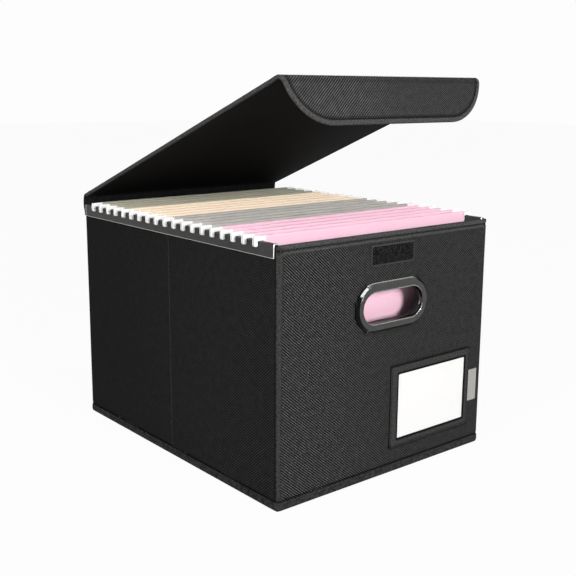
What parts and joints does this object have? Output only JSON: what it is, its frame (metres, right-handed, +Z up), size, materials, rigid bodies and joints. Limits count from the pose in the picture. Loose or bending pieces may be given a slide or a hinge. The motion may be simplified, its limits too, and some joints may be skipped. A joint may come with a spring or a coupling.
{
  "type": "portable file box",
  "caption": "Fabric file box on boards with hanging folders on two side rails, a label pocket, grip rings and a lid with a fold-down closing flap.",
  "frame": {"origin": "middle of the underside of the box, on the surface that it stands on", "axes": "+Z up, +X to the right as seen from the front, front wall faces -Y"},
  "size_m": [0.329, 0.4044, 0.4408],
  "materials": {
    "box_fabric": "embossed linen-look fabric, black",
    "base_fabric": "plain black fabric",
    "lining_fabric": "plain black lining",
    "binding_fabric": "folded binding tape, black",
    "lid_fabric": "embossed linen-look fabric, black",
    "pocket_fabric": "smooth black fabric",
    "board": "grey cardboard",
    "rail_steel": "dark grey satin paint, bare sheared edge",
    "gunmetal": "gloss gunmetal",
    "hook_loop": "black hook and loop tape",
    "woven_tag": "light grey woven ribbon",
    "white_card": "matt white card",
    "white_hook": "white plastic coating on the bar ends",
    "pink_paper": "matt pink folder paper",
    "grey_paper": "matt grey folder paper",
    "peach_paper": "matt peach folder paper",
    "olive_paper": "matt olive grey folder paper"
  },
  "bodies": {
    "root": {"front_cover": "box_fabric", "back_cover": "box_fabric", "left_cover": "box_fabric", "right_cover": "box_fabric", "base_cover": "base_fabric", "base_binding": "binding_fabric", "end_boards": "board", "side_boards": "board", "floor_board": "lining_fabric", "hanging_rails": "rail_steel", "front_handle": "gunmetal", "rear_handle": "gunmetal", "front_loop_tape": "hook_loop", "label_pocket": "pocket_fabric", "side_tag": "woven_tag", "lid_hinge_strip": "box_fabric"},
    "lid": {"lid_cover": "lid_fabric", "lid_board": "board"},
    "flap": {"flap_cover": "lid_fabric", "flap_board": "board", "flap_hook_tape": "hook_loop"},
    "card": {"label_card": "white_card"},
    "file_01": {"folder_01": "pink_paper", "hanger_01": "white_hook"},
    "file_02": {"folder_02": "pink_paper", "hanger_02": "white_hook"},
    "file_03": {"folder_03": "pink_paper", "hanger_03": "white_hook"},
    "file_04": {"folder_04": "pink_paper", "hanger_04": "white_hook"},
    "file_05": {"folder_05": "pink_paper", "hanger_05": "white_hook"},
    "file_06": {"folder_06": "grey_paper", "hanger_06": "white_hook"},
    "file_07": {"folder_07": "grey_paper", "hanger_07": "white_hook"},
    "file_08": {"folder_08": "grey_paper", "hanger_08": "white_hook"},
    "file_09": {"folder_09": "grey_paper", "hanger_09": "white_hook"},
    "file_10": {"folder_10": "grey_paper", "hanger_10": "white_hook"},
    "file_11": {"folder_11": "peach_paper", "hanger_11": "white_hook"},
    "file_12": {"folder_12": "peach_paper", "hanger_12": "white_hook"},
    "file_13": {"folder_13": "peach_paper", "hanger_13": "white_hook"},
    "file_14": {"folder_14": "peach_paper", "hanger_14": "white_hook"},
    "file_15": {"folder_15": "peach_paper", "hanger_15": "white_hook"},
    "file_16": {"folder_16": "olive_paper", "hanger_16": "white_hook"},
    "file_17": {"folder_17": "olive_paper", "hanger_17": "white_hook"},
    "file_18": {"folder_18": "olive_paper", "hanger_18": "white_hook"},
    "file_19": {"folder_19": "olive_paper", "hanger_19": "white_hook"}
  },
  "joints": [
    {"name": "lid_hinge", "type": "hinge", "parent": "root", "child": "lid", "pos_m": [0, 0.2, 0.286], "axis": [-1, 0, 0], "range_deg": [-21.4, 193]},
    {"name": "flap_fold", "type": "hinge", "parent": "lid", "child": "flap", "pos_m": [0, -0.18475, 0.44161], "axis": [-1, 0, 0], "range_deg": [-7, 95]},
    {"name": "card_slide", "type": "slide", "parent": "root", "child": "card", "axis": [0, 0, 1], "range_m": [0, 0.04]},
    {"name": "file_01_slide", "type": "slide", "parent": "root", "child": "file_01", "axis": [0, 1, 0], "range_m": [-0.0065, 0.0065]},
    {"name": "file_02_slide", "type": "slide", "parent": "root", "child": "file_02", "axis": [0, 1, 0], "range_m": [-0.0065, 0.0065]},
    {"name": "file_03_slide", "type": "slide", "parent": "root", "child": "file_03", "axis": [0, 1, 0], "range_m": [-0.0065, 0.0065]},
    {"name": "file_04_slide", "type": "slide", "parent": "root", "child": "file_04", "axis": [0, 1, 0], "range_m": [-0.0065, 0.0065]},
    {"name": "file_05_slide", "type": "slide", "parent": "root", "child": "file_05", "axis": [0, 1, 0], "range_m": [-0.0065, 0.0065]},
    {"name": "file_06_slide", "type": "slide", "parent": "root", "child": "file_06", "axis": [0, 1, 0], "range_m": [-0.0065, 0.0065]},
    {"name": "file_07_slide", "type": "slide", "parent": "root", "child": "file_07", "axis": [0, 1, 0], "range_m": [-0.0065, 0.0065]},
    {"name": "file_08_slide", "type": "slide", "parent": "root", "child": "file_08", "axis": [0, 1, 0], "range_m": [-0.0065, 0.0065]},
    {"name": "file_09_slide", "type": "slide", "parent": "root", "child": "file_09", "axis": [0, 1, 0], "range_m": [-0.0065, 0.0065]},
    {"name": "file_10_slide", "type": "slide", "parent": "root", "child": "file_10", "axis": [0, 1, 0], "range_m": [-0.0065, 0.0065]},
    {"name": "file_11_slide", "type": "slide", "parent": "root", "child": "file_11", "axis": [0, 1, 0], "range_m": [-0.0065, 0.0065]},
    {"name": "file_12_slide", "type": "slide", "parent": "root", "child": "file_12", "axis": [0, 1, 0], "range_m": [-0.0065, 0.0065]},
    {"name": "file_13_slide", "type": "slide", "parent": "root", "child": "file_13", "axis": [0, 1, 0], "range_m": [-0.0065, 0.0065]},
    {"name": "file_14_slide", "type": "slide", "parent": "root", "child": "file_14", "axis": [0, 1, 0], "range_m": [-0.0065, 0.0065]},
    {"name": "file_15_slide", "type": "slide", "parent": "root", "child": "file_15", "axis": [0, 1, 0], "range_m": [-0.0065, 0.0065]},
    {"name": "file_16_slide", "type": "slide", "parent": "root", "child": "file_16", "axis": [0, 1, 0], "range_m": [-0.0065, 0.0065]},
    {"name": "file_17_slide", "type": "slide", "parent": "root", "child": "file_17", "axis": [0, 1, 0], "range_m": [-0.0065, 0.0065]},
    {"name": "file_18_slide", "type": "slide", "parent": "root", "child": "file_18", "axis": [0, 1, 0], "range_m": [-0.0065, 0.0065]},
    {"name": "file_19_slide", "type": "slide", "parent": "root", "child": "file_19", "axis": [0, 1, 0], "range_m": [-0.0065, 0.0065]}
  ]
}
